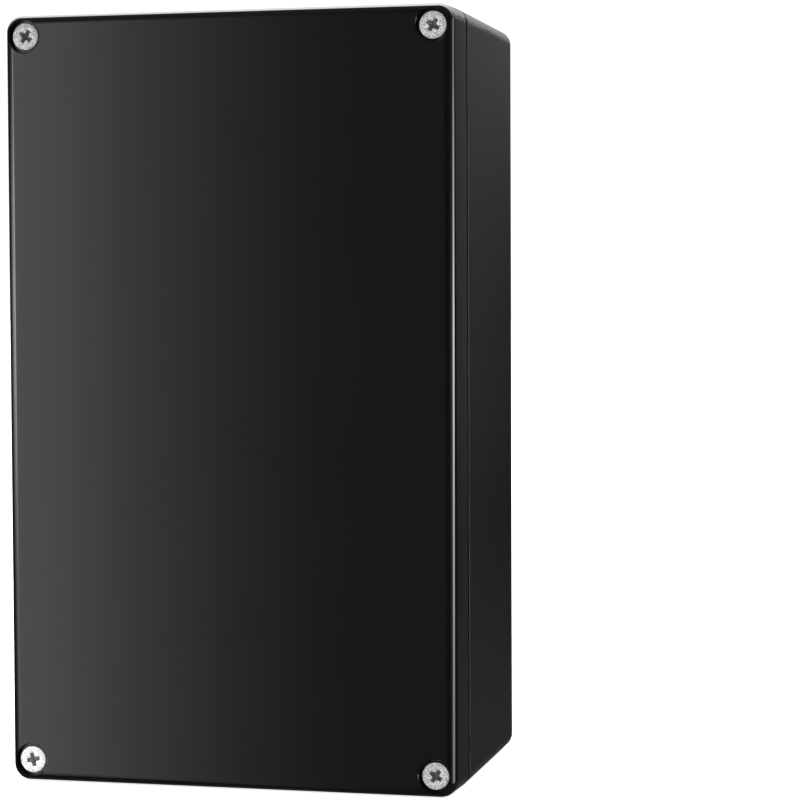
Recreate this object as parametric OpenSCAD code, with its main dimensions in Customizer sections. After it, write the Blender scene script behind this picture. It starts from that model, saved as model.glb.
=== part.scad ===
// Sealed plastic project box, standing on a short end with its lid to the front.
// Millimetres. X is the width, Y runs from the lid (-Y) to the back wall (+Y), Z is up.
// The origin is the middle of the end that the box stands on.

/* [Case] */
// Outside width of the box
case_w = 119.8; // [112:0.2:150]
// Outside height of the box as it stands
case_h = 200; // [180:1:260]
// Outside depth, lid face to back wall
case_d = 75; // [60:1:100]
// Depth of the lid alone
lid_d = 15; // [14:0.5:20]
// Radius of the four upright corners seen from the lid
corner_r = 4.5; // [4:0.25:6]
// Gap left between the lid rim and the base rim
seam_gap = 0.9; // [0.4:0.05:1]

/* [Walls] */
// Thickness of the base side walls at the rim
wall_t = 3.4; // [3.3:0.1:4]
// Thickness of the back wall of the base
floor_t = 3; // [2.5:0.25:4]
// Thickness of the lid plate
plate_t = 3; // [2.5:0.25:4]
// How far each base side leans in toward the back
base_draft = 0.5; // [0.2:0.1:0.8]
// How far each lid side leans in toward the face
lid_draft = 0.3; // [0.05:0.05:0.4]
// Radius along the back edge of the base
back_edge_r = 1.8; // [1:0.2:2.4]
// Radius along the edge of the lid face
face_edge_r = 2.6; // [1:0.2:3]
// Radius on the outer edge of the base rim
rim_edge_r = 0.4; // [0.3:0.1:1]

/* [Seal] */
// Distance from the outer side to the middle of the seal
seal_inset = 2.6; // [2.5:0.05:2.8]
// Bend radius of the seal where it passes round the corner posts
seal_bend_r = 4; // [3.6:0.1:4.4]
// Width of the groove in the lid
groove_w = 2.4; // [2.3:0.05:2.5]
// Depth of the groove in the lid
groove_d = 4.6; // [4.4:0.1:5]
// Diameter of the sealing cord
cord_dia = 2.3; // [2.1:0.05:2.3]
// Width of the tongue on the base rim where it starts
tongue_w = 1.2; // [1:0.05:1.3]
// Height of the tongue above the base rim
tongue_h = 2.6; // [2:0.1:2.6]
// Thickness of the lid wall inside the groove
inner_rib_t = 1.4; // [1.2:0.1:1.6]

/* [Corner posts] */
// Distance from the side to the seal where it passes a post
post_x = 11.8; // [11.6:0.1:12.4]
// Distance from the end to the seal where it passes a post
post_y = 22.8; // [22.6:0.1:24]
// Distance from both outer sides to the middle of a lid screw
screw_inset = 5.7; // [5.4:0.05:5.7]
// Distance from the side to a wall fixing hole
fixing_x = 5.9; // [5.5:0.1:6.2]
// Distance from the end to a wall fixing hole
fixing_y = 16; // [15.6:0.1:16.4]
// Diameter of a wall fixing hole through the back wall
fixing_dia = 4.5; // [3.5:0.1:5]
// Diameter of the well that takes the head of a wall fixing screw
well_dia = 8.2; // [7.6:0.1:8.4]
// Thickness of plastic left under the well
well_floor = 5; // [4:0.5:8]

/* [Lid screws] */
// Thread diameter
screw_dia = 3.9; // [3.8:0.05:3.9]
// Length over all of a countersunk screw
screw_len = 22; // [20:0.5:23]
// Diameter of the screw head
head_dia = 7; // [6.6:0.1:7.4]
// Depth of the screw head below the lid face
head_sink = 1.2; // [1:0.1:1.4]
// Diameter of the round recess for the head in the lid face
recess_dia = 8.4; // [8.2:0.1:8.8]
// Depth of that round recess
recess_d = 1.6; // [1.55:0.05:1.8]
// Diameter of the plain hole for the screw in the lid
lid_hole_dia = 4.4; // [4.3:0.1:4.8]
// Turn of the cross slot in each screw, top left first and then clockwise
slot_turns = [57, 57, 57, 12.5]; // [0:0.5:90]

/* [Brass inserts] */
// Diameter over the knurled bands
insert_dia = 5.8; // [5.6:0.05:5.8]
// Length of an insert
insert_len = 8; // [7:0.5:9]
// Diameter of the threaded bore, taken at the crest
insert_bore = 4; // [4:0.02:4.06]
// How far the knurls bite into the plastic, on the radius
knurl_bite = 0.12; // [0.05:0.01:0.15]

/* [Board posts] */
// Distance between the two columns of board posts
board_post_w = 76; // [60:2:84]
// Distance between the top and bottom rows of the outer four
outer_post_h = 160; // [130:2:164]
// Distance between the rows of the inner four
inner_post_h = 80; // [60:2:100]
// Height of a board post above the back wall
board_post_len = 6; // [4:0.5:10]
// Diameter of a board post at its top
board_post_dia = 6.6; // [6:0.2:8]
// Diameter of its pilot hole
pilot_dia = 2.6; // [2:0.1:3]

/* [Hidden] */
$fn = 64;
BOX_BLACK = [0.09, 0.09, 0.095];
LID_BLACK = [0.1, 0.1, 0.105];
CORD_WHITE = [0.93, 0.93, 0.91];
ZINC = [0.78, 0.78, 0.77];
BRASS = [0.8, 0.64, 0.3];
THROUGH = 1;                                  // overshoot of a cutting shape
lid_rim = case_d - lid_d;                     // height of the lid rim above the back face
base_rim = lid_rim - seam_gap;
seal_x = case_w / 2 - seal_inset;             // seal beside the long walls
seal_y = case_h / 2 - seal_inset;             // seal beside the short walls
turn_x = case_w / 2 - post_x;                 // seal beside the posts
turn_y = case_h / 2 - post_y;
base_in = wall_t - seal_inset;                // seal line to the inner face of the base
lid_in = groove_w / 2 + inner_rib_t;          // seal line to the inner face of the lid
inner_draft = 0.3;                            // lean of the inner faces over their height
screw_x = case_w / 2 - screw_inset;
screw_y = case_h / 2 - screw_inset;
CORNERS = [[-1, 1], [1, 1], [1, -1], [-1, -1]];   // top left, then clockwise
head_land = 0.35;                             // straight edge of the screw head
seat_clear = 0.08;                            // play between head cone and its seat
head_top = case_d - head_sink;
insert_below = 0.2;                           // how far an insert sits below the rim
insert_top = base_rim - insert_below;
insert_waist = 0.35;                          // depth of the groove between the knurls
insert_hole_r = insert_dia / 2 - knurl_bite;
slot_span = 3.7;                              // cross slot, tip to tip
slot_t = 1.1;                                 // thickness of one arm of the slot
slot_heart = 1.7;                             // side of the square that widens its middle
slot_d = 2;                                   // depth of the slot at its middle
slot_point_r = 0.45;                          // half width of the slot at its lowest point

// Turns a shape built lying on its back so that it stands with the lid toward -Y
module stand() {
    translate([0, case_d / 2, case_h / 2])
        rotate([90, 0, 0])
            children();
}

// Repeats its children in all four quarters
module four_corners() {
    for (flip_x = [0, 1], flip_y = [0, 1])
        mirror([flip_x, 0, 0])
            mirror([0, flip_y, 0])
                children();
}

// Section of a moulded edge, from its middle line out to the side. The side leans out by
// lean over the depth, and both outer edges can be rounded.
module edge_section(reach, depth, lean, low_r, high_r) {
    slope = sqrt(depth * depth + lean * lean);
    low_x = reach - lean + low_r * (lean - slope) / depth;
    high_x = reach - lean + ((depth - high_r) * lean - high_r * slope) / depth;
    out = [depth / slope, -lean / slope];
    polygon([
        [0, 0],
        [low_x, 0],
        [low_x + low_r * out[0], low_r + low_r * out[1]],
        [high_x + high_r * out[0], depth - high_r + high_r * out[1]],
        [high_x, depth],
        [0, depth]
    ]);
    if (low_r > 0)
        edge_round(low_x, low_r, low_r);
    if (high_r > 0)
        edge_round(high_x, depth - high_r, high_r);
}

// Circle of a rounded edge, less any part beyond the axis that the section is turned about
module edge_round(x, y, r) {
    difference() {
        translate([x, y])
            circle(r = r);
        translate([-2 * r, y - 2 * r])
            square([2 * r, 4 * r]);
    }
}

// Block with four rounded corners and leaning sides, its full size at the top
module moulded_block(w, h, r, depth, lean, low_r = 0, high_r = 0) {
    flat_w = w - 2 * r;
    flat_h = h - 2 * r;
    translate([-flat_w / 2, -flat_h / 2, 0])
        cube([flat_w, flat_h, depth]);
    for (side = [[0, flat_w, flat_h], [90, flat_h, flat_w], [180, flat_w, flat_h], [270, flat_h, flat_w]])
        rotate([0, 0, side[0]])
            translate([side[1] / 2, 0, 0])
                rotate([90, 0, 0])
                    linear_extrude(side[2], center = true)
                        edge_section(r, depth, lean, low_r, high_r);
    four_corners()
        translate([flat_w / 2, flat_h / 2, 0])
            rotate_extrude(angle = 90)
                edge_section(r, depth, lean, low_r, high_r);
}

// Room inside the seal line, set in from it by inset, with a notch left for each post
module seal_room(inset, depth) {
    bend = seal_bend_r - inset;
    post_r = seal_bend_r + inset;
    moulded_block(2 * (seal_x - inset), 2 * (turn_y - inset), bend, depth, inner_draft);
    moulded_block(2 * (turn_x - inset), 2 * (seal_y - inset), bend, depth, inner_draft);
    four_corners()
        translate([turn_x - inset, turn_y - inset, 0])
            cube([post_r, post_r, depth]);
}

// Rounded inner edges of the four posts, which fill the notches of seal_room
module post_edges(inset, depth) {
    post_r = seal_bend_r + inset;
    four_corners()
        translate([turn_x + seal_bend_r, turn_y + seal_bend_r, 0])
            rotate([0, 0, 180])
                rotate_extrude(angle = 90)
                    polygon([[0, 0], [post_r + inner_draft, 0], [post_r, depth], [0, depth]]);
}

// Carries a section along the whole seal line, round the inner side of each post
module along_seal() {
    bend = seal_bend_r;
    for (side = [0, 180])
        rotate([0, 0, side]) {
            translate([seal_x, 0, 0])
                rotate([90, 0, 0])
                    linear_extrude(2 * (turn_y - bend), center = true)
                        children();
            rotate([0, 0, 90])
                translate([seal_y, 0, 0])
                    rotate([90, 0, 0])
                        linear_extrude(2 * (turn_x - bend), center = true)
                            children();
        }
    four_corners() {
        translate([(seal_x + turn_x) / 2, turn_y, 0])
            rotate([90, 0, 90])
                linear_extrude(seal_x - turn_x - 2 * bend, center = true)
                    children();
        translate([turn_x, (seal_y + turn_y) / 2, 0])
            rotate([90, 0, 0])
                linear_extrude(seal_y - turn_y - 2 * bend, center = true)
                    children();
        for (knee = [[seal_x, turn_y], [turn_x, seal_y]])
            translate([knee[0] - bend, knee[1] - bend, 0])
                rotate_extrude(angle = 90)
                    translate([bend, 0])
                        children();
        translate([turn_x + bend, turn_y + bend, 0])
            rotate([0, 0, 180])
                rotate_extrude(angle = 90)
                    translate([bend, 0])
                        children();
    }
}

// Section of the tongue, its foot on the rim at y = 0 and its tip narrower
module tongue_section() {
    taper = 0.3;
    tip_w = tongue_w - taper;
    polygon([[-tongue_w / 2, 0], [tongue_w / 2, 0], [tip_w / 2, tongue_h], [-tip_w / 2, tongue_h]]);
}

// Hole for a brass insert, with room below it for the screw's tip
module insert_hole() {
    depth = insert_len + 2 * insert_below;
    tip_room = 4;
    tip_clear = 0.3;
    translate([0, 0, base_rim - depth])
        cylinder(r = insert_hole_r, h = depth + THROUGH);
    translate([0, 0, base_rim - depth - tip_room])
        cylinder(r = screw_dia / 2 + tip_clear, h = tip_room + THROUGH);
}

// Well and hole for a screw that holds the box to a wall
module fixing_hole() {
    translate([0, 0, -THROUGH])
        cylinder(d = fixing_dia, h = well_floor + 2 * THROUGH);
    translate([0, 0, well_floor])
        cylinder(d = well_dia, h = base_rim);
}

// Post that a circuit board is screwed to
module board_post() {
    foot_flare = 0.6;
    translate([0, 0, floor_t - THROUGH / 2])
        difference() {
            cylinder(d1 = board_post_dia + foot_flare, d2 = board_post_dia,
                h = board_post_len + THROUGH / 2);
            translate([0, 0, THROUGH])
                cylinder(d = pilot_dia, h = board_post_len);
        }
}

module case_base() {
    room_d = base_rim - floor_t;
    color(BOX_BLACK)
        stand() {
            difference() {
                union() {
                    difference() {
                        moulded_block(case_w, case_h, corner_r, base_rim, base_draft,
                            back_edge_r, rim_edge_r);
                        translate([0, 0, floor_t])
                            seal_room(base_in, room_d);
                    }
                    translate([0, 0, floor_t])
                        post_edges(base_in, room_d);
                }
                four_corners() {
                    translate([screw_x, screw_y, 0])
                        insert_hole();
                    translate([case_w / 2 - fixing_x, case_h / 2 - fixing_y, 0])
                        fixing_hole();
                }
            }
            translate([0, 0, base_rim])
                along_seal()
                    tongue_section();
            for (row_h = [outer_post_h, inner_post_h])
                four_corners()
                    translate([board_post_w / 2, row_h / 2, 0])
                        board_post();
        }
}

// Stepped hole for a lid screw, drawn down from the lid face at z = 0
module lid_screw_hole() {
    seat_r = head_dia / 2 + seat_clear - (recess_d - head_sink - head_land);
    hole_r = lid_hole_dia / 2;
    mouth = 0.25;                             // chamfer round the recess
    translate([0, 0, -mouth])
        cylinder(r1 = recess_dia / 2, r2 = recess_dia / 2 + 2 * mouth, h = 2 * mouth);
    translate([0, 0, -recess_d])
        cylinder(d = recess_dia, h = recess_d + THROUGH);
    translate([0, 0, -recess_d - (seat_r - hole_r)])
        cylinder(r1 = hole_r, r2 = seat_r, h = seat_r - hole_r);
    translate([0, 0, -lid_d - THROUGH])
        cylinder(r = hole_r, h = lid_d + THROUGH);
}

module lid() {
    room_d = lid_d - plate_t;
    lid_rim_r = 0.3;
    color(LID_BLACK)
        stand()
            difference() {
                translate([0, 0, case_d])
                    rotate([180, 0, 0]) {
                        difference() {
                            moulded_block(case_w, case_h, corner_r, lid_d, lid_draft,
                                face_edge_r, lid_rim_r);
                            translate([0, 0, plate_t])
                                seal_room(lid_in, room_d);
                        }
                        translate([0, 0, plate_t])
                            post_edges(lid_in, room_d);
                    }
                translate([0, 0, lid_rim])
                    along_seal()
                        translate([-groove_w / 2, -THROUGH])
                            square([groove_w, groove_d + THROUGH]);
                four_corners()
                    translate([screw_x, screw_y, case_d])
                        lid_screw_hole();
            }
}

// Silicone cord pressed into the bottom of the lid groove
module gasket() {
    play = 0.02;                              // between the cord and the bottom of its groove
    cord_z = lid_rim + groove_d - cord_dia / 2 - play;
    color(CORD_WHITE)
        stand()
            translate([0, 0, cord_z])
                along_seal()
                    circle(d = cord_dia);
}

// Countersunk screw with a cross slot, its head up
module lid_screw(turn) {
    r = screw_dia / 2;
    head_r = head_dia / 2;
    edge = 0.15;                              // broken edge of the head
    tip = 0.6;                                // chamfer at the point of the screw
    cone_h = head_r - r;
    difference() {
        rotate_extrude()
            polygon([
                [0, 0],
                [head_r - edge, 0],
                [head_r, -edge],
                [head_r, -head_land],
                [r, -head_land - cone_h],
                [r, -screw_len + tip],
                [r - tip, -screw_len],
                [0, -screw_len]
            ]);
        rotate([0, 0, turn])
            cross_slot();
    }
}

// Cross slot that narrows to a point, its middle widened by a square, its mouth at z = 0
module cross_slot() {
    mouth_r = slot_span / 2;
    slot_h = slot_d + 2 * THROUGH;
    intersection() {
        translate([0, 0, -slot_d])
            cylinder(r1 = slot_point_r, r2 = mouth_r + (mouth_r - slot_point_r) * THROUGH / slot_d,
                h = slot_d + THROUGH);
        translate([0, 0, -slot_d - THROUGH])
            linear_extrude(slot_h) {
                square([2 * slot_span, slot_t], center = true);
                square([slot_t, 2 * slot_span], center = true);
                rotate(45)
                    square(slot_heart, center = true);
            }
    }
}

// One lid screw in its corner, number 0 at the top left and then clockwise
module corner_screw(corner) {
    color(ZINC)
        stand()
            translate([CORNERS[corner][0] * screw_x, CORNERS[corner][1] * screw_y, head_top])
                lid_screw(slot_turns[corner]);
}

// One brass insert in its corner, with two knurled bands and a waist between them
module corner_insert(corner) {
    r = insert_dia / 2;
    bore = insert_bore / 2;
    lead = 0.4;
    band = insert_len * 0.4;
    color(BRASS)
        stand()
            translate([CORNERS[corner][0] * screw_x, CORNERS[corner][1] * screw_y,
                insert_top - insert_len])
                rotate_extrude()
                    polygon([
                        [bore, 0],
                        [r - lead, 0],
                        [r, lead],
                        [r, band],
                        [r - insert_waist, band + insert_waist],
                        [r - insert_waist, insert_len - band - insert_waist],
                        [r, insert_len - band],
                        [r, insert_len],
                        [bore + lead, insert_len],
                        [bore, insert_len - lead]
                    ]);
}

case_base();
lid();
gasket();
corner_screw(0);  // screw_top_left
corner_screw(1);  // screw_top_right
corner_screw(2);  // screw_bottom_right
corner_screw(3);  // screw_bottom_left
corner_insert(0);  // insert_top_left
corner_insert(1);  // insert_top_right
corner_insert(2);  // insert_bottom_right
corner_insert(3);  // insert_bottom_left
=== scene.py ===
import math
import bmesh
import bpy
from mathutils import Matrix, Vector


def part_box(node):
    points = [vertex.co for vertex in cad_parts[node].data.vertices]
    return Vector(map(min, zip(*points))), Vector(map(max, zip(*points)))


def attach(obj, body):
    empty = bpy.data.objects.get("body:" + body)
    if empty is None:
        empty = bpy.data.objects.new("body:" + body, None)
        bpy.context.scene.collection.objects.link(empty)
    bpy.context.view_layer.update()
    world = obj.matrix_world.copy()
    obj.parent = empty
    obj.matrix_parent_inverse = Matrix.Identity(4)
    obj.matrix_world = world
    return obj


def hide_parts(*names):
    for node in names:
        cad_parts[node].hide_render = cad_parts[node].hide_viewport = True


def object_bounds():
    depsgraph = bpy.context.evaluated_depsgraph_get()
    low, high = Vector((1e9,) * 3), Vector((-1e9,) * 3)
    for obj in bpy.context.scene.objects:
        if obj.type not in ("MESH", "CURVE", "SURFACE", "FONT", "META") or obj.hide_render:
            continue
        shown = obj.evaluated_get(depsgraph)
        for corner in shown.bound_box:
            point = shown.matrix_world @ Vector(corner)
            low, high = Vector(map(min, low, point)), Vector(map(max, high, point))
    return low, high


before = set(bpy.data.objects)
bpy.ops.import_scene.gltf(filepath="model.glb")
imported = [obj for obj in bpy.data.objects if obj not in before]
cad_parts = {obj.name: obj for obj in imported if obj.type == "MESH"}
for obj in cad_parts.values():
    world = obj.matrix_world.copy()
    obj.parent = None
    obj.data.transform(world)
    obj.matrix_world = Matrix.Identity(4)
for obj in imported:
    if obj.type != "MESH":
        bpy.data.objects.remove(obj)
cadBounds = [list(corner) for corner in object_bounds()]
print("frame loaded, box", cadBounds)
scene = bpy.context.scene
mm = 0.001
boxMiddle = Vector((0, 0, (cadBounds[0][2] + cadBounds[1][2]) / 2))   # half way up the centre line
corners = ["top_left", "top_right", "bottom_right", "bottom_left"]


# shader maths as plain expressions

class Sock:
    # wraps a socket, so that numbers and sockets can be added, multiplied and so on
    def __init__(self, tree, socket):
        self.tree = tree
        self.socket = socket

    def maths(self, operation, *values, clamp=False):
        return makeNode(self.tree, "ShaderNodeMath", {"operation": operation, "use_clamp": clamp},
                        dict(enumerate(values)))

    def __add__(self, other):
        return self.maths("ADD", self, other)

    def __radd__(self, other):
        return self.maths("ADD", other, self)

    def __sub__(self, other):
        return self.maths("SUBTRACT", self, other)

    def __rsub__(self, other):
        return self.maths("SUBTRACT", other, self)

    def __mul__(self, other):
        return self.maths("MULTIPLY", self, other)

    def __rmul__(self, other):
        return self.maths("MULTIPLY", other, self)

    def __pow__(self, other):
        return self.maths("POWER", self, other)

    def clamped(self):
        return self.maths("ADD", self, 0.0, clamp=True)

    def absolute(self):
        return self.maths("ABSOLUTE", self)

    def above(self, limit):
        return self.maths("GREATER_THAN", self, limit)

    def span(self, low, high, outLow=0.0, outHigh=1.0):
        # a soft step: outLow at low, outHigh at high
        return makeNode(self.tree, "ShaderNodeMapRange", {"interpolation_type": "SMOOTHSTEP"},
                        {"Value": self, "From Min": low, "From Max": high,
                         "To Min": outLow, "To Max": outHigh})


def plug(tree, target, value):
    if isinstance(value, Sock):
        tree.links.new(value.socket, target)
    elif isinstance(value, bpy.types.NodeSocket):
        tree.links.new(value, target)
    else:
        target.default_value = value


def makeNode(tree, kind, settings=None, inputs=None, out=0):
    # settings are set first, then each socket gets its value or its link; out=None gives the node itself
    node = tree.nodes.new(kind)
    for key, value in (settings or {}).items():
        if key == "stops":
            ramp = node.color_ramp
            while len(ramp.elements) < len(value):
                ramp.elements.new(0.5)
            for element, (place, colour) in zip(ramp.elements, value):
                element.position = place
                element.color = colour
        else:
            setattr(node, key, value)
    for key, value in (inputs or {}).items():
        plug(tree, node.inputs[key], value)
    if out is None:
        return node
    return Sock(tree, node.outputs[out])


def split(tree, place):
    # the X, Y and Z of a vector
    node = makeNode(tree, "ShaderNodeSeparateXYZ", None, {0: place}, None)
    return [Sock(tree, output) for output in node.outputs]


def mixColour(tree, factor, first, second):
    # the colour sockets of a Mix node are its inputs 6 and 7 and its output 2
    return makeNode(tree, "ShaderNodeMix", {"data_type": "RGBA"}, {0: factor, 6: first, 7: second}, 2)


def shaded(tone, shares):
    return (*[tone * share for share in shares], 1)


def newMaterial(name, fixed):
    material = bpy.data.materials.new(name)
    material.use_nodes = True
    tree = material.node_tree
    tree.nodes.clear()
    shader = makeNode(tree, "ShaderNodeBsdfPrincipled", None, fixed, None)
    makeNode(tree, "ShaderNodeOutputMaterial", None, {"Surface": shader.outputs[0]}, None)
    return material, tree, shader


def piecePlace(tree, centre=(0, 0, 0), scale=(1, 1, 1)):
    coords = makeNode(tree, "ShaderNodeTexCoord", None, None, "Object")
    return makeNode(tree, "ShaderNodeMapping", {"vector_type": "POINT"},
                    {"Vector": coords, "Location": [-c for c in centre], "Scale": scale})


def noise(tree, place, scale, detail=2.0, rough=0.5):
    return makeNode(tree, "ShaderNodeTexNoise", {"noise_dimensions": "3D"},
                    {"Vector": place, "Scale": scale, "Detail": detail, "Roughness": rough})


def bumpNormal(tree, height, distance, strength, after=None):
    inputs = {"Height": height, "Distance": distance, "Strength": strength}
    if after is not None:
        inputs["Normal"] = after
    return makeNode(tree, "ShaderNodeBump", None, inputs)


# black plastic of the lid and the base; the size of a pattern is counted in cells to the metre

# the seam lip is how far the seam's painted shade reaches onto the lid's side from its rim
lidFinish = {"tone": 0.0022, "roughness": 0.06, "roughnessSwing": 0.014, "rimRoughness": 0.0,
             "rippleSize": 70.0, "ripple": 0.04, "grainSize": 2600.0, "grain": 0.02,
             "seamShadeLip": 0.85 * mm}
baseFinish = {"tone": 0.003, "roughness": 0.16, "roughnessSwing": 0.05, "rimRoughness": 0.38,
              "rippleSize": 60.0, "ripple": 0.06, "grainSize": 3000.0, "grain": 0.07,
              "seamShadeLip": 0.0}
moulding = {"deep": (0.85, 0.85, 0.87), "pale": (1.18, 1.18, 1.2), "cloudSize": 38.0,
            "rubSize": 55.0, "rubStretch": 9.0, "rubShare": 0.8,
            "rippleHeight": 0.2 * mm, "grainHeight": 0.02 * mm,
            # the seam band is where the seam's painted shade fades out on the base's lip
            "seamGap": 0.9 * mm, "rimBand": (0.3 * mm, 0.45 * mm), "seamShadeBand": (0.08 * mm, 0.11 * mm),
            "skin": 0.33 * mm}


def blackPlastic(name, finish):
    material, tree, shader = newMaterial(name, {"IOR": 1.5, "Metallic": 0.0})
    place = piecePlace(tree, boxMiddle)
    stretch = moulding["rubStretch"]
    rubbed = piecePlace(tree, boxMiddle, (stretch, stretch, 1.0))
    cloud = noise(tree, place, moulding["cloudSize"], detail=3.0)
    rub = noise(tree, rubbed, moulding["rubSize"], detail=4.0, rough=0.6)
    deep = shaded(finish["tone"], moulding["deep"])
    pale = shaded(finish["tone"], moulding["pale"])
    plug(tree, shader.inputs["Base Color"], mixColour(tree, cloud, deep, pale))

    # the base is duller on the rounded lip of its rim
    x, depth, z = split(tree, place)
    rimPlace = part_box("lid")[1].y + moulding["seamGap"]
    rimStart, rimEnd = moulding["rimBand"]
    nearRim = depth.span(rimPlace + rimEnd, rimPlace + rimStart)
    swing = finish["roughnessSwing"]
    rough = finish["roughness"] + (cloud - 0.5) * swing + (rub - 0.5) * (swing * moulding["rubShare"])
    rough = rough + nearRim * finish["rimRoughness"]
    plug(tree, shader.inputs["Roughness"], rough.clamped())

    ripple = noise(tree, place, finish["rippleSize"], detail=1.0)
    grain = noise(tree, place, finish["grainSize"])
    wave = bumpNormal(tree, ripple, moulding["rippleHeight"], finish["ripple"])
    plug(tree, shader.inputs["Normal"],
         bumpNormal(tree, grain, moulding["grainHeight"], finish["grain"], wave))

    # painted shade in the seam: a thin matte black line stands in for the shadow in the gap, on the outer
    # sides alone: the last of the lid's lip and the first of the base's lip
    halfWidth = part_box("case_base")[1].x - moulding["skin"]
    halfHeight = boxMiddle.z - moulding["skin"]
    outside = (x.absolute().above(halfWidth) + z.absolute().above(halfHeight)).clamped()
    shadeStart, shadeEnd = moulding["seamShadeBand"]
    seamPaintedShade = (depth.above(rimPlace - moulding["seamGap"] - finish["seamShadeLip"]) * outside
                * depth.span(rimPlace + shadeEnd, rimPlace + shadeStart))
    # the painted shade of the seam: a black, matte shader that mirrors nothing
    dark = makeNode(tree, "ShaderNodeBsdfPrincipled", None,
                    {"Base Color": (0, 0, 0, 1), "Roughness": 1.0, "Specular IOR Level": 0.0})
    mixed = makeNode(tree, "ShaderNodeMixShader", None, {0: seamPaintedShade, 1: shader.outputs[0], 2: dark})
    ending = next(node for node in tree.nodes if node.type == "OUTPUT_MATERIAL")
    plug(tree, ending.inputs["Surface"], mixed)
    return material


# zinc plate of the lid screws, with painted light and shade: each screw has its own dull and bright mottle
# tones, the bottom left one painted much lighter and the top left one darker, to stand in for the light each
# one gets

zincFinish = {"mottleAndPaintedLight": {"top_left": (0.125, 0.455), "top_right": (0.18, 0.56),
                                "bottom_right": (0.19, 0.6), "bottom_left": (0.46, 0.86)},
              "tint": (1.0, 1.0, 0.985), "roughness": 0.42, "roughnessSwing": 0.25,
              "mottleSize": 2400.0, "mottleBand": (0.4, 0.58), "mottleHeight": 0.03 * mm, "mottle": 0.4,
              "fineSize": 3000.0, "fineHeight": 0.01 * mm, "fine": 0.3,
              # the slot's painted shade: its dark tone, its reach, mouth and foot, and the noise band that
              # breaks it up
              "slotShadeTone": (0.05, 0.05, 0.05, 1), "slotReach": (1.85 * mm, 1.9 * mm),
              "slotMouth": (0.02 * mm, 0.3 * mm), "slotFoot": (2.0 * mm, 2.1 * mm),
              "slotShadeBand": (0.4, 0.62), "slotShadeLeast": 0.25}


def zincPlate(corner):
    material, tree, shader = newMaterial(cornerName("zincPlate", corner), {"Metallic": 0.45, "IOR": 1.5})
    place = piecePlace(tree, boxMiddle)
    mottle = noise(tree, place, zincFinish["mottleSize"], detail=3.0, rough=0.7)
    fine = noise(tree, place, zincFinish["fineSize"])
    # each corner's pair of tones holds painted light and shade as well as the zinc's mottle
    dull, bright = [shaded(tone, zincFinish["tint"]) for tone in zincFinish["mottleAndPaintedLight"][corner]]
    plated = mixColour(tree, mottle.span(*zincFinish["mottleBand"]), dull, bright)

    # painted shade in the cross slot: a dark tone stands in for the shade in the recess; it lies close to
    # the axis and under the head's face, and fine noise breaks it up
    low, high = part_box("screw_" + corner)
    axis = (low + high) / 2 - boxMiddle
    x, depth, z = split(tree, place)
    sideways = x - axis.x
    upward = z - axis.z
    below = depth - low.y
    reach = (sideways * sideways + upward * upward) ** 0.5
    mouthStart, mouthEnd = zincFinish["slotMouth"]
    footStart, footEnd = zincFinish["slotFoot"]
    reachStart, reachEnd = zincFinish["slotReach"]
    inSlot = (below.span(mouthStart, mouthEnd) * below.span(footEnd, footStart)
              * reach.span(reachEnd, reachStart))
    shadeLow, shadeHigh = zincFinish["slotShadeBand"]
    slotShade = inSlot * fine.span(shadeHigh, shadeLow, zincFinish["slotShadeLeast"], 1.0)
    plug(tree, shader.inputs["Base Color"], mixColour(tree, slotShade, plated, zincFinish["slotShadeTone"]))

    rough = zincFinish["roughness"] + (0.5 - mottle) * zincFinish["roughnessSwing"]
    plug(tree, shader.inputs["Roughness"], rough.clamped())
    pits = bumpNormal(tree, mottle, zincFinish["mottleHeight"], zincFinish["mottle"])
    plug(tree, shader.inputs["Normal"],
         bumpNormal(tree, fine, zincFinish["fineHeight"], zincFinish["fine"], pits))
    return material


# brass of the inserts, turned on a lathe and a little stained

brassFinish = {"stained": (0.60, 0.40, 0.14, 1), "bright": (0.80, 0.59, 0.25, 1), "stainBand": (0.35, 0.7),
               "stainSize": 700.0, "roughness": 0.28, "roughnessSwing": 0.25,
               "ringSize": 320.0, "ringStretch": 40.0, "ringHeight": 0.03 * mm, "ring": 0.3}


def turnedBrass(name):
    material, tree, shader = newMaterial(name, {"Metallic": 1.0, "IOR": 1.5})
    stain = noise(tree, piecePlace(tree), brassFinish["stainSize"], detail=3.0)
    along = piecePlace(tree, scale=(1.0, brassFinish["ringStretch"], 1.0))
    rings = noise(tree, along, brassFinish["ringSize"], detail=3.0)
    clean = stain.span(*brassFinish["stainBand"])
    plug(tree, shader.inputs["Base Color"],
         mixColour(tree, clean, brassFinish["stained"], brassFinish["bright"]))
    rough = brassFinish["roughness"] + (stain - 0.5) * brassFinish["roughnessSwing"]
    plug(tree, shader.inputs["Roughness"], rough.clamped())
    plug(tree, shader.inputs["Normal"],
         bumpNormal(tree, rings, brassFinish["ringHeight"], brassFinish["ring"]))
    return material


# silicone of the seal cord, milky and faintly dusty

siliconeFinish = {"fixed": {"IOR": 1.42, "Metallic": 0.0, "Specular IOR Level": 0.45,
                            "Subsurface Weight": 0.35, "Subsurface Scale": 0.002,
                            "Subsurface Radius": (1.0, 1.0, 0.95)},
                  "clean": (0.86, 0.86, 0.84, 1), "dusty": (0.80, 0.80, 0.775, 1), "dustBand": (0.4, 0.7),
                  "dustSize": 900.0, "roughness": 0.42, "roughnessSwing": 0.2,
                  "skinSize": 240.0, "skinHeight": 0.1 * mm, "skin": 0.15}


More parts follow.
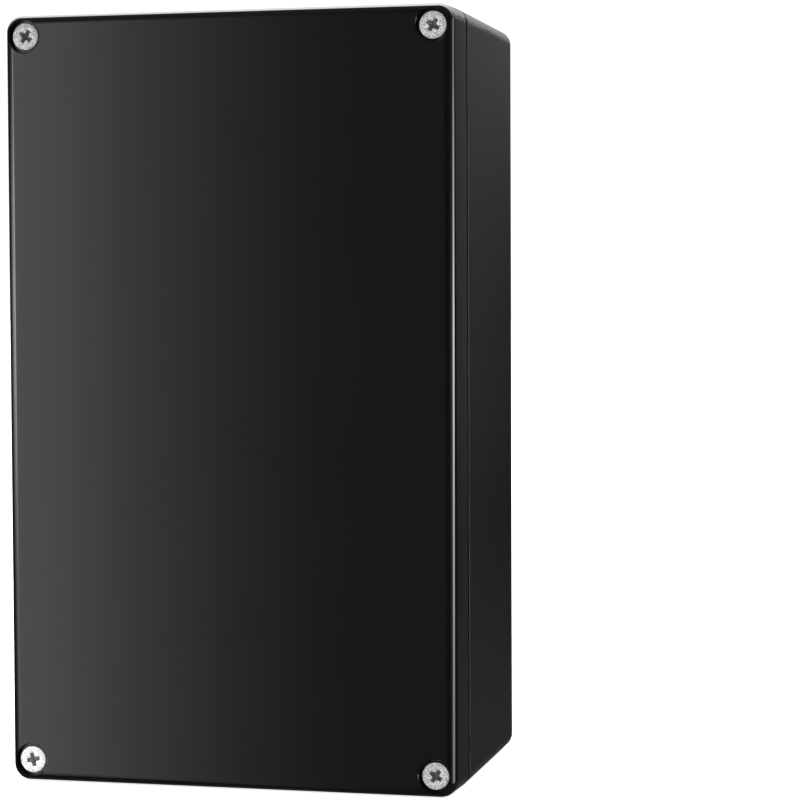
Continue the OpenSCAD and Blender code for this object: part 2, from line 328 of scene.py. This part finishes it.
def siliconeRubber(name):
    material, tree, shader = newMaterial(name, siliconeFinish["fixed"])
    place = piecePlace(tree)
    dust = noise(tree, place, siliconeFinish["dustSize"], detail=3.0)
    skin = noise(tree, place, siliconeFinish["skinSize"])
    dusty = dust.span(*siliconeFinish["dustBand"])
    plug(tree, shader.inputs["Base Color"],
         mixColour(tree, dusty, siliconeFinish["clean"], siliconeFinish["dusty"]))
    rough = siliconeFinish["roughness"] + (dust - 0.5) * siliconeFinish["roughnessSwing"]
    plug(tree, shader.inputs["Roughness"], rough.clamped())
    plug(tree, shader.inputs["Normal"],
         bumpNormal(tree, skin, siliconeFinish["skinHeight"], siliconeFinish["skin"]))
    return material


def cornerName(word, corner):
    # lidScrew and top_left give lidScrewTopLeft
    return word + "".join(part.capitalize() for part in corner.split("_"))


lidGloss = blackPlastic("glossyBlackLid", lidFinish)
baseSatin = blackPlastic("satinBlackBase", baseFinish)
zincCoats = {corner: zincPlate(corner) for corner in corners}
brassSkin = turnedBrass("turnedBrassInsert")
sealWhite = siliconeRubber("milkySiliconeSeal")
print("materials made")


# mesh helpers

def addObject(name, mesh, material=None):
    piece = bpy.data.objects.new(name, mesh)
    scene.collection.objects.link(piece)
    if material is not None:
        piece.data.materials.clear()
        piece.data.materials.append(material)
    return piece


def settled(piece):
    # the evaluated shape becomes the piece's own plain mesh, and no modifier is left
    bpy.context.view_layer.update()
    depsgraph = bpy.context.evaluated_depsgraph_get()
    mesh = bpy.data.meshes.new_from_object(piece.evaluated_get(depsgraph),
                                           preserve_all_data_layers=True, depsgraph=depsgraph)
    mesh.name = piece.name
    if piece.type == "MESH":
        piece.modifiers.clear()
        piece.data = mesh
        return piece
    name = piece.name
    bpy.data.objects.remove(piece)
    return addObject(name, mesh)


def smoothByAngle(mesh, degrees):
    limit = math.radians(degrees)
    shape = bmesh.new()
    shape.from_mesh(mesh)
    for face in shape.faces:
        face.smooth = True
    for edge in shape.edges:
        edge.smooth = len(edge.link_faces) == 2 and edge.calc_face_angle(0.0) < limit
    shape.to_mesh(mesh)
    shape.free()


def bridge(shape, low, high):
    # faces between two rings of points, either of which may be one point on the axis
    steps = max(len(low), len(high))
    for k in range(steps):
        n = (k + 1) % steps
        if len(low) == 1:
            shape.faces.new((low[0], high[n], high[k]))
        elif len(high) == 1:
            shape.faces.new((low[k], low[n], high[0]))
        else:
            shape.faces.new((low[k], low[n], high[n], high[k]))


def closedMesh(shape, name):
    bmesh.ops.recalc_face_normals(shape, faces=shape.faces)
    mesh = bpy.data.meshes.new(name)
    shape.to_mesh(mesh)
    shape.free()
    return mesh


def lathe(profile, steps):
    # turns a list of (radius, height) round the Z axis; it ends on the axis, or it closes to a tube
    shape = bmesh.new()
    rings = []
    for radius, height in profile:
        if radius == 0:
            rings.append([shape.verts.new((0, 0, height))])
        else:
            angles = [2 * math.pi * k / steps for k in range(steps)]
            rings.append([shape.verts.new((radius * math.cos(angle), radius * math.sin(angle), height))
                          for angle in angles])
    for low, high in zip(rings, rings[1:]):
        bridge(shape, low, high)
    if len(rings[0]) > 1 and len(rings[-1]) > 1:
        bridge(shape, rings[-1], rings[0])
    return closedMesh(shape, "lathe")


# geometry node helpers

def newTree(name, inputs):
    tree = bpy.data.node_groups.new(name, "GeometryNodeTree")
    tree.interface.new_socket(name="Geometry", in_out="INPUT", socket_type="NodeSocketGeometry")
    for label, kind in inputs.items():
        tree.interface.new_socket(name=label, in_out="INPUT", socket_type=kind)
    tree.interface.new_socket(name="Geometry", in_out="OUTPUT", socket_type="NodeSocketGeometry")
    return tree, tree.nodes.new("NodeGroupInput").outputs


def moved(tree, geometry, shift=(0, 0, 0), turn=(0, 0, 0)):
    return makeNode(tree, "GeometryNodeTransform", None,
                    {"Geometry": geometry, "Translation": shift, "Rotation": turn})


def lifted(tree, height):
    return makeNode(tree, "ShaderNodeCombineXYZ", None, {"Z": height})


def joinedParts(tree, parts):
    joined = makeNode(tree, "GeometryNodeJoinGeometry", None, None, None)
    for part in parts:
        plug(tree, joined.inputs[0], part)
    return joined.outputs[0]


def closeTree(tree, given, geometry):
    # realized and given its finish, as the last two steps
    real = makeNode(tree, "GeometryNodeRealizeInstances", None, {0: geometry})
    done = makeNode(tree, "GeometryNodeSetMaterial", None, {"Geometry": real, "Material": given["Finish"]})
    makeNode(tree, "NodeGroupOutput", None, {0: done}, None)
    return tree


def runTree(piece, tree, values):
    modifier = piece.modifiers.new(tree.name, "NODES")
    modifier.node_group = tree
    for item in tree.interface.items_tree:
        if item.in_out == "INPUT" and item.name in values:
            modifier[item.identifier] = values[item.name]
    return settled(piece)


# lid and base

shell = {"weld": 0.002 * mm, "sliver": 0.0005 * mm, "sharpAngle": 20.0, "evenWeight": 80}


def weldedCopy(node, name, material):
    # a CAD node is loose triangles: the copy is merged and shaded, and the node is left alone
    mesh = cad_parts[node].data.copy()
    shape = bmesh.new()
    shape.from_mesh(mesh)
    bmesh.ops.remove_doubles(shape, verts=shape.verts, dist=shell["weld"])
    bmesh.ops.dissolve_degenerate(shape, edges=shape.edges, dist=shell["sliver"])
    shape.to_mesh(mesh)
    shape.free()
    smoothByAngle(mesh, shell["sharpAngle"])
    piece = addObject(name, mesh, material)
    even = piece.modifiers.new("even", "WEIGHTED_NORMAL")
    even.keep_sharp = True
    even.weight = shell["evenWeight"]
    return settled(piece)


lidShell = weldedCopy("lid", "lidShell", lidGloss)
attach(lidShell, "lid")
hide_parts("lid")

baseShell = weldedCopy("case_base", "baseShell", baseSatin)
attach(baseShell, "base")
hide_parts("case_base")
print("lid and base made")


# seal cord, along its path in the lid groove: postX and postZ are how far in it passes the corner posts

seal = {"inset": 2.6 * mm, "postX": 11.8 * mm, "postZ": 22.8 * mm, "bend": 4.0 * mm,
        "bendSteps": 10, "sides": 20, "roundShare": 0.995}


def sealCordTree():
    tree, given = newTree("sealCordPath", {
        "Bend": "NodeSocketFloat", "Bend Steps": "NodeSocketInt", "Radius": "NodeSocketFloat",
        "Sides": "NodeSocketInt", "Finish": "NodeSocketMaterial"})
    rounded = makeNode(tree, "GeometryNodeFilletCurve", {"mode": "POLY"},
                       {"Curve": given["Geometry"], "Count": given["Bend Steps"], "Radius": given["Bend"]})
    section = makeNode(tree, "GeometryNodeCurvePrimitiveCircle", None,
                       {"Resolution": given["Sides"], "Radius": given["Radius"]})
    swept = makeNode(tree, "GeometryNodeCurveToMesh", None, {"Curve": rounded, "Profile Curve": section})
    smooth = makeNode(tree, "GeometryNodeSetShadeSmooth", None, {"Geometry": swept, "Shade Smooth": True})
    return closeTree(tree, given, smooth)


def makeSealCord():
    low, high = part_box("gasket")
    centre = (low + high) / 2
    radius = (high.y - low.y) / 2
    sideX = (high.x - low.x) / 2 - radius
    endZ = (high.z - low.z) / 2 - radius
    turnX = sideX - (seal["postX"] - seal["inset"])
    turnZ = endZ - (seal["postZ"] - seal["inset"])
    quarter = [(sideX, turnZ), (turnX, turnZ), (turnX, endZ)]
    points = quarter + [(-x, z) for x, z in reversed(quarter)]
    points += [(-x, -z) for x, z in quarter] + [(x, -z) for x, z in reversed(quarter)]
    curve = bpy.data.curves.new("sealLine", "CURVE")
    curve.dimensions = "3D"
    spline = curve.splines.new("POLY")
    spline.points.add(len(points) - 1)
    for point, (x, z) in zip(spline.points, points):
        point.co = (x, centre.y, centre.z + z, 1)
    spline.use_cyclic_u = True
    return runTree(addObject("sealCord", curve), sealCordTree(), {
        "Bend": seal["bend"], "Bend Steps": seal["bendSteps"], "Radius": radius * seal["roundShare"],
        "Sides": seal["sides"], "Finish": sealWhite})


sealCord = makeSealCord()
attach(sealCord, "lid")
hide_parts("gasket")
print("seal cord made")


# lid screws: a turned blank with a cross slot, and a thread that follows a helix
# headEdge has points (inward, down) from the head's rim; a slot level is a height and its shares of
# the slot's reach and width

screw = {"headRadius": 3.5 * mm, "land": 0.35 * mm, "crest": 1.93 * mm, "core": 1.6 * mm,
         "length": 22.0 * mm, "pitch": 0.7 * mm, "steps": 64, "threadSteps": 28,
         "headEdge": [(0.22 * mm, 0.0), (0.08 * mm, 0.03 * mm), (0.01 * mm, 0.12 * mm), (0.0, 0.2 * mm)],
         "plainNeck": 0.3 * mm, "neckEnd": 0.75 * mm, "tipLength": 0.6 * mm, "tipInset": 0.55 * mm,
         "threadStart": 0.7 * mm, "threadStop": 0.5 * mm,
         "softEdge": 0.05 * mm, "softAngle": 38.0, "smoothAngle": 34.0,
         "turns": {"top_left": 57.0, "top_right": 57.0, "bottom_right": 57.0, "bottom_left": 12.5},
         "slot": {"reach": 1.85 * mm, "width": 1.1 * mm, "heart": 0.95 * mm,
                  "levels": [(0.4 * mm, 1.0, 1.0), (0.0, 1.0, 1.0), (-0.7 * mm, 0.84, 0.94),
                             (-1.5 * mm, 0.55, 0.86), (-2.0 * mm, 0.22, 0.5)],
                  "armEnd": 0.93, "armTip": 0.55, "rootOut": 1.25, "rootSide": 1.08,
                  "heartLimit": 0.8, "halfLimit": 0.75}}


def slotCutter():
    # a star that shrinks from the mouth to its foot: four arms with flared inner corners
    slot = screw["slot"]
    shape = bmesh.new()
    rings = []
    for height, reachShare, widthShare in slot["levels"]:
        reach = slot["reach"] * reachShare
        heart = min(slot["heart"] * widthShare, reach * slot["heartLimit"])
        half = min(slot["width"] / 2 * widthShare, heart * slot["halfLimit"])
        end, tip = reach * slot["armEnd"], half * slot["armTip"]
        corner = heart * math.cos(math.pi / 4)
        rootOut, rootSide = corner * slot["rootOut"], half * slot["rootSide"]
        arm = [(end, -half), (reach, -tip), (reach, tip), (end, half),
               (rootOut, rootSide), (corner, corner), (rootSide, rootOut)]
        ring = []
        for quarter in range(4):
            turn = Matrix.Rotation(quarter * math.pi / 2, 3, "Z")
            ring += [shape.verts.new(turn @ Vector((x, y, height))) for x, y in arm]
        rings.append(ring)
    for high, low in zip(rings, rings[1:]):
        bridge(shape, low, high)
    shape.faces.new(rings[0])
    shape.faces.new(list(reversed(rings[-1])))
    return closedMesh(shape, "slotCutter")


def screwBlank():
    head, land, crest, core = screw["headRadius"], screw["land"], screw["crest"], screw["core"]
    neck, end = -(land + head - crest), -screw["length"]
    profile = [(0, 0)] + [(head - inward, -down) for inward, down in screw["headEdge"]]
    profile += [(head, -land), (crest, neck), (crest, neck - screw["plainNeck"]),
                (core, neck - screw["neckEnd"]), (core, end + screw["tipLength"]),
                (core - screw["tipInset"], end), (0, end)]
    blank = addObject("screwBlank", lathe(profile, screw["steps"]))
    cutter = addObject("slotCutter", slotCutter())
    cut = blank.modifiers.new("slot", "BOOLEAN")
    cut.operation = "DIFFERENCE"
    cut.solver = "EXACT"
    cut.object = cutter
    soft = blank.modifiers.new("soft", "BEVEL")
    soft.width = screw["softEdge"]
    soft.segments = 2
    soft.limit_method = "ANGLE"
    soft.angle_limit = math.radians(screw["softAngle"])
    blank = settled(blank)
    bpy.data.objects.remove(cutter)
    smoothByAngle(blank.data, screw["smoothAngle"])
    return blank


def screwTree():
    tree, given = newTree("lidScrewThread", {
        "Pitch": "NodeSocketFloat", "Thread Turns": "NodeSocketFloat", "Thread Top": "NodeSocketFloat",
        "Core Radius": "NodeSocketFloat", "Thread Depth": "NodeSocketFloat",
        "Steps": "NodeSocketInt", "Slot Turn": "NodeSocketFloat", "Place": "NodeSocketVector",
        "Finish": "NodeSocketMaterial"})
    height = Sock(tree, given["Pitch"]) * given["Thread Turns"]
    helix = makeNode(tree, "GeometryNodeCurveSpiral", None,
                     {"Resolution": given["Steps"], "Rotations": given["Thread Turns"],
                      "Start Radius": given["Core Radius"], "End Radius": given["Core Radius"],
                      "Height": height})
    upright = makeNode(tree, "GeometryNodeSetCurveNormal", {"mode": "Z_UP"}, {"Curve": helix})
    ridge = makeNode(tree, "GeometryNodeCurvePrimitiveCircle", None,
                     {"Resolution": 4, "Radius": given["Thread Depth"]})
    swept = makeNode(tree, "GeometryNodeCurveToMesh", None,
                     {"Curve": upright, "Profile Curve": ridge, "Fill Caps": True})
    thread = moved(tree, swept, shift=lifted(tree, Sock(tree, given["Thread Top"]) - height))
    joined = joinedParts(tree, [given["Geometry"], thread])
    turned = moved(tree, joined, turn=lifted(tree, given["Slot Turn"]))
    placed = moved(tree, turned, given["Place"], (math.pi / 2, 0, 0))
    return closeTree(tree, given, placed)


def makeScrews():
    blank = screwBlank()
    tree = screwTree()
    top = -(screw["land"] + screw["headRadius"] - screw["crest"] + screw["threadStart"])
    turns = (screw["length"] + top - screw["threadStop"]) / screw["pitch"]
    for corner in corners:
        low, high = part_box("screw_" + corner)
        coat = zincCoats[corner]
        piece = addObject(cornerName("lidScrew", corner), blank.data.copy(), coat)
        piece = runTree(piece, tree, {
            "Pitch": screw["pitch"], "Thread Turns": turns, "Thread Top": top,
            "Core Radius": screw["core"], "Thread Depth": screw["crest"] - screw["core"],
            "Steps": screw["threadSteps"], "Slot Turn": math.radians(screw["turns"][corner]),
            "Place": ((low.x + high.x) / 2, low.y, (low.z + high.z) / 2), "Finish": coat})
        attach(piece, "loose_screw_" + corner)
        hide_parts("screw_" + corner)
    bpy.data.objects.remove(blank)


makeScrews()
print("lid screws made")


# brass inserts: a turned tube with two rows of knurl teeth; band is each row's share of the length

insert = {"radius": 2.72 * mm, "bore": 2.0 * mm, "waist": 0.35 * mm, "waistSlope": 0.2 * mm,
          "band": 0.4, "lead": 0.4 * mm, "teeth": 40, "toothSize": 0.19 * mm, "toothRelief": 0.1 * mm,
          "steps": 48, "smoothAngle": 34.0}


def insertTube(length):
    radius, bore, lead = insert["radius"], insert["bore"], insert["lead"]
    band = length * insert["band"]
    waist, slope = radius - insert["waist"], insert["waistSlope"]
    profile = [(bore, 0), (radius - lead, 0), (radius, lead), (radius, band), (waist, band + slope),
               (waist, length - band - slope), (radius, length - band), (radius, length),
               (bore + lead, length), (bore, length - lead)]
    mesh = lathe(profile, insert["steps"])
    smoothByAngle(mesh, insert["smoothAngle"])
    return mesh


def insertTree():
    tree, given = newTree("knurledInsert", {
        "Teeth": "NodeSocketInt", "Radius": "NodeSocketFloat", "Tooth Size": "NodeSocketFloat",
        "Band Length": "NodeSocketFloat", "Band Gap": "NodeSocketFloat", "Place": "NodeSocketVector",
        "Finish": "NodeSocketMaterial"})
    size = makeNode(tree, "ShaderNodeCombineXYZ", None,
                    {"X": given["Tooth Size"], "Y": given["Tooth Size"], "Z": given["Band Length"]})
    bar = makeNode(tree, "GeometryNodeMeshCube", None, {"Size": size})
    edged = moved(tree, bar, turn=(0, 0, math.pi / 4))
    ring = makeNode(tree, "GeometryNodeMeshCircle", None,
                    {"Vertices": given["Teeth"], "Radius": given["Radius"]})
    outward = makeNode(tree, "GeometryNodeInputNormal")
    facing = makeNode(tree, "FunctionNodeAlignRotationToVector", {"axis": "X"}, {"Vector": outward})
    row = makeNode(tree, "GeometryNodeInstanceOnPoints", None,
                   {"Points": ring, "Instance": edged, "Rotation": facing})
    half = Sock(tree, given["Band Length"]) * 0.5
    lowRow = moved(tree, row, lifted(tree, half))
    highRow = moved(tree, row, lifted(tree, half + given["Band Gap"]))
    joined = joinedParts(tree, [given["Geometry"], lowRow, highRow])
    placed = moved(tree, joined, given["Place"], (math.pi / 2, 0, 0))
    return closeTree(tree, given, placed)


def makeInserts():
    tree = insertTree()
    for corner in corners:
        low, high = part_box("insert_" + corner)
        length = high.y - low.y
        band = length * insert["band"] - insert["toothRelief"]
        piece = addObject(cornerName("brassInsert", corner), insertTube(length), brassSkin)
        piece = runTree(piece, tree, {
            "Teeth": insert["teeth"], "Radius": insert["radius"], "Tooth Size": insert["toothSize"],
            "Band Length": band, "Band Gap": length - band,
            "Place": ((low.x + high.x) / 2, high.y, (low.z + high.z) / 2), "Finish": brassSkin})
        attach(piece, "base")
        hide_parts("insert_" + corner)


makeInserts()
print("brass inserts made")


# camera: turn and roll are anticlockwise and tilt is down, in degrees

view = {"place": (0.19954, -0.66294, 0.12912), "turn": 13.82394, "tilt": 2.52396, "roll": -0.25685,
        "lens": 115.57973, "sensor": 36.0, "nearest": 0.01, "farthest": 50.0}


def makeCamera():
    camera = bpy.data.cameras.new("camera")
    camera.sensor_width = view["sensor"]
    camera.lens = view["lens"]
    camera.clip_start = view["nearest"]
    camera.clip_end = view["farthest"]
    holder = bpy.data.objects.new("camera", camera)
    turn = Matrix.Rotation(math.radians(view["turn"]), 4, "Z")
    tilt = Matrix.Rotation(math.radians(90 - view["tilt"]), 4, "X")
    roll = Matrix.Rotation(math.radians(view["roll"]), 4, "Z")
    holder.matrix_world = Matrix.Translation(view["place"]) @ turn @ tilt @ roll
    scene.collection.objects.link(holder)
    scene.camera = holder


# white floor, with one soft light over it that no surface mirrors

ground = {"reach": 9.0, "height": -0.02 * mm, "white": (0.93, 0.93, 0.93, 1), "roughness": 0.9, "glow": 0.8}
fillLight = {"place": (0.1, -0.45, 1.4), "aim": (0.05, -0.15, 0), "size": (1.4, 0.5), "power": 25}


def addFloor():
    reach, height = ground["reach"], ground["height"]
    mesh = bpy.data.meshes.new("floor")
    mesh.from_pydata([(-reach, -reach, height), (reach, -reach, height),
                      (reach, reach, height), (-reach, reach, height)], [], [(0, 1, 2, 3)])
    material, tree, shader = newMaterial("paleFloor", {
        "Base Color": ground["white"], "Roughness": ground["roughness"], "Specular IOR Level": 0.0,
        "Emission Color": (1, 1, 1, 1), "Emission Strength": ground["glow"]})
    floor = addObject("floor", mesh, material)
    floor.visible_glossy = False


def addFillLight():
    light = bpy.data.lights.new("floorFill", "AREA")
    light.shape = "RECTANGLE"
    light.size, light.size_y = fillLight["size"]
    light.energy = fillLight["power"]
    holder = bpy.data.objects.new("floorFill", light)
    direction = Vector(fillLight["aim"]) - Vector(fillLight["place"])
    turn = direction.to_track_quat("-Z", "Y").to_matrix().to_4x4()
    holder.matrix_world = Matrix.Translation(fillLight["place"]) @ turn
    holder.visible_camera = False
    holder.visible_glossy = False
    scene.collection.objects.link(holder)


# upright cards of light, seen only in reflections: bearings are in degrees, 0 in front of the lid and
# 180 behind, positive to the left; heights are in metres; each stop pairs a bearing or a height with a glow

glowCards = {
    "leftGlow": {
        "bearing": 22.0, "distance": 1.5, "width": 1.7, "low": -3.0, "high": 1.4, "strength": 1.8,
        "bearings": [(-7.4, 0.015), (-1, 0.035), (5, 0.05), (8.5, 0.055), (10, 0.06), (12.6, 0.065),
                     (13.85, 0.0745), (15.1, 0.113), (16.3, 0.168), (17.5, 0.232), (18.75, 0.348),
                     (20, 0.442), (21.2, 0.6), (22.4, 0.79), (23.65, 0.93), (26.6, 1.05), (30.2, 1.2),
                     (33.3, 1.2), (36, 0.0)],
        "heights": [(-3.0, 0.0), (-2.1, 0.1), (-1.4, 0.22), (-1.0, 0.4), (-0.6, 0.65), (-0.4, 1.0),
                    (0.0, 1.0), (0.45, 1.0), (0.65, 0.7), (0.93, 0.28), (1.3, 0.1), (1.4, 0.0)]},
    "leftBox": {
        "bearing": 37.5, "distance": 1.45, "width": 0.4334, "low": -0.6, "high": 0.9, "strength": 8.5,
        "fade": 0.2, "innerFade": 0.12,
        "bearings": [(28.9, 0.5), (33, 0.85), (38, 1.1), (43, 1.15), (46, 1.1)],
        "heights": [(-0.4, 0.14), (-0.22, 0.24), (-0.137, 0.3), (-0.054, 0.44), (0.03, 0.78),
                    (0.113, 0.96), (0.2, 0.86), (0.264, 0.62), (0.31, 0.44), (0.5, 0.2)]},
    "leftWing": {
        "bearing": 78.0, "distance": 1.5, "width": 1.8746, "low": -0.6, "high": 0.9, "strength": 8.5,
        "fade": 0.2,
        "bearings": [(46, 1.1), (50, 1.1), (55, 0.8), (60, 0.5), (66, 0.3), (75, 0.13), (84, 0.06),
                     (95, 0.02), (108, 0.0)],
        "heights": [(-0.4, 0.05), (-0.22, 0.12), (-0.137, 0.2), (-0.054, 0.4), (0.03, 0.8),
                    (0.113, 0.96), (0.195, 0.7), (0.279, 0.25), (0.33, 0.1), (0.5, 0.0)]},
    "rightBox": {
        "bearing": -95.0, "distance": 1.4, "width": 2.6, "low": -0.6, "high": 0.9, "strength": 14.0,
        "lean": 1.05, "leanFrom": 0.113, "fade": 0.2,
        "bearings": [(-53, 0.007), (-67, 0.029), (-78, 0.06), (-89, 0.333), (-94.5, 1.0), (-110, 1.0),
                     (-114, 0.0)],
        "heights": [(-0.4, 0.26), (-0.2, 0.37), (-0.124, 0.49), (-0.045, 0.64), (0.034, 0.83),
                    (0.1, 0.95), (0.19, 0.57), (0.254, 0.42), (0.3, 0.24), (0.5, 0.1)]},
    "sideGlow": {
        "bearing": -160.0, "distance": 1.4, "width": 0.4, "low": -0.6, "high": 0.7, "strength": 1.25,
        "bearings": [(-167.4, 0.0), (-166.6, 1.0), (-162.8, 1.0), (-160.5, 0.0)],
        "heights": [(-0.4, 0.05), (-0.219, 0.058), (-0.138, 0.05), (-0.053, 0.048), (0.029, 0.07),
                    (0.113, 0.08), (0.195, 0.088), (0.261, 0.105), (0.313, 0.11), (0.38, 0.15),
                    (0.45, 0.3), (0.6, 0.8), (0.7, 1.1)]}}


def rampOf(tree, value, stops):
    return makeNode(tree, "ShaderNodeValToRGB", {"stops": [(p, (v, v, v, 1)) for p, v in stops]}, {0: value})


def acrossStops(card):
    # a bearing becomes a share of the card's width
    turn = [(math.tan(math.radians(bearing - card["bearing"])), glow) for bearing, glow in card["bearings"]]
    return sorted((0.5 + slope * card["distance"] / card["width"], glow) for slope, glow in turn)


def upStops(card):
    reach = card["high"] - card["low"]
    return sorted(((height - card["low"]) / reach, glow) for height, glow in card["heights"])


def cardMaterial(name, card):
    material = bpy.data.materials.new(name)
    material.use_nodes = True
    tree = material.node_tree
    tree.nodes.clear()
    across, up, _ = split(tree, makeNode(tree, "ShaderNodeTexCoord", None, None, "UV"))
    leaned = across
    if "lean" in card:
        # the pattern moves sideways with height, by lean metres to the metre
        height = up * (card["high"] - card["low"]) + (card["low"] - card["leanFrom"])
        leaned = across + height * (card["lean"] / card["width"])
    glow = rampOf(tree, leaned, acrossStops(card)) * rampOf(tree, up, upStops(card))
    surface = makeNode(tree, "ShaderNodeEmission", None,
                       {"Color": (1, 1, 1, 1), "Strength": glow * card["strength"]})
    if "fade" in card:
        # the card turns clear toward its top, its foot and its inner side, so its edges don't show
        solid = up.span(0.0, card["fade"]) * up.span(1.0, 1.0 - card["fade"])
        if "innerFade" in card:
            solid = solid * across.span(0.0, card["innerFade"])
        clear = makeNode(tree, "ShaderNodeBsdfTransparent")
        surface = makeNode(tree, "ShaderNodeMixShader", None, {0: solid, 1: clear, 2: surface})
    makeNode(tree, "ShaderNodeOutputMaterial", None, {"Surface": surface}, None)
    return material


def addGlowCard(name, card):
    angle = math.radians(card["bearing"])
    away = Vector((-math.sin(angle), -math.cos(angle), 0))
    across = Vector((-math.cos(angle), math.sin(angle), 0))
    centre = away * card["distance"] + Vector((0, 0, (card["low"] + card["high"]) / 2))
    half = Vector((0, 0, (card["high"] - card["low"]) / 2))
    mesh = bpy.data.meshes.new(name)
    mesh.from_pydata([centre + across * (card["width"] * a) + half * b
                      for a, b in ((-0.5, -1), (0.5, -1), (0.5, 1), (-0.5, 1))], [], [(0, 1, 2, 3)])
    layer = mesh.uv_layers.new(name="UVMap")
    for loop, uv in zip(layer.data, ((0, 0), (1, 0), (1, 1), (0, 1))):
        loop.uv = uv
    piece = addObject(name, mesh, cardMaterial(name, card))
    piece.visible_camera = False
    piece.visible_diffuse = False
    piece.visible_shadow = False


# white for the floor and the backdrop; reflections see a dark front and a pale glow above and behind
# each stop pairs the upward part of a direction, from -1 to 1, with a glow

studio = {"white": 1.15, "brightest": 10.0, "behindBand": (0.08, 0.3),
          "back": [(-1.0, 0.1), (-0.5, 0.09), (-0.3, 0.08), (-0.2, 0.07), (-0.164, 0.06), (-0.125, 0.025),
                   (-0.086, 0.0), (-0.047, 0.004), (-0.008, 0.012), (0.031, 0.07), (0.0625, 0.13),
                   (0.0875, 0.24), (0.12, 0.3), (0.2, 0.45), (0.29, 0.9), (0.47, 2.0), (0.63, 3.3),
                   (0.77, 5.0), (0.87, 7.0), (0.93, 9.0), (1.0, 10.0)],
          "front": [(-0.9, 0.03), (-0.5, 0.09), (-0.3, 0.02), (-0.2, 0.0), (0.3, 0.0), (0.5, 0.09),
                    (0.9, 0.15)]}


def makeWorld():
    world = bpy.data.worlds.new("studio")
    world.use_nodes = True
    tree = world.node_tree
    tree.nodes.clear()
    _, toBack, toTop = split(tree, makeNode(tree, "ShaderNodeTexCoord", None, None, "Generated"))
    most = studio["brightest"]
    height = toTop * 0.5 + 0.5
    back, front = [rampOf(tree, height, [(p * 0.5 + 0.5, v / most) for p, v in studio[part]])
                   for part in ("back", "front")]
    behind = toBack.span(*studio["behindBand"])
    level = (back * behind + front * (1 - behind)) * most
    mirrored = makeNode(tree, "ShaderNodeLightPath", None, None, "Is Glossy Ray")
    bright = makeNode(tree, "ShaderNodeBackground", None,
                      {"Color": (1, 1, 1, 1), "Strength": studio["white"]})
    dim = makeNode(tree, "ShaderNodeBackground", None, {"Color": (1, 1, 1, 1), "Strength": level})
    both = makeNode(tree, "ShaderNodeMixShader", None, {0: mirrored, 1: bright, 2: dim})
    makeNode(tree, "ShaderNodeOutputWorld", None, {"Surface": both}, None)
    scene.world = world


makeCamera()
addFloor()
addFillLight()
makeWorld()
for name, card in glowCards.items():
    addGlowCard(name, card)
scene.view_settings.view_transform = "Standard"
print("stage, lights and camera made")
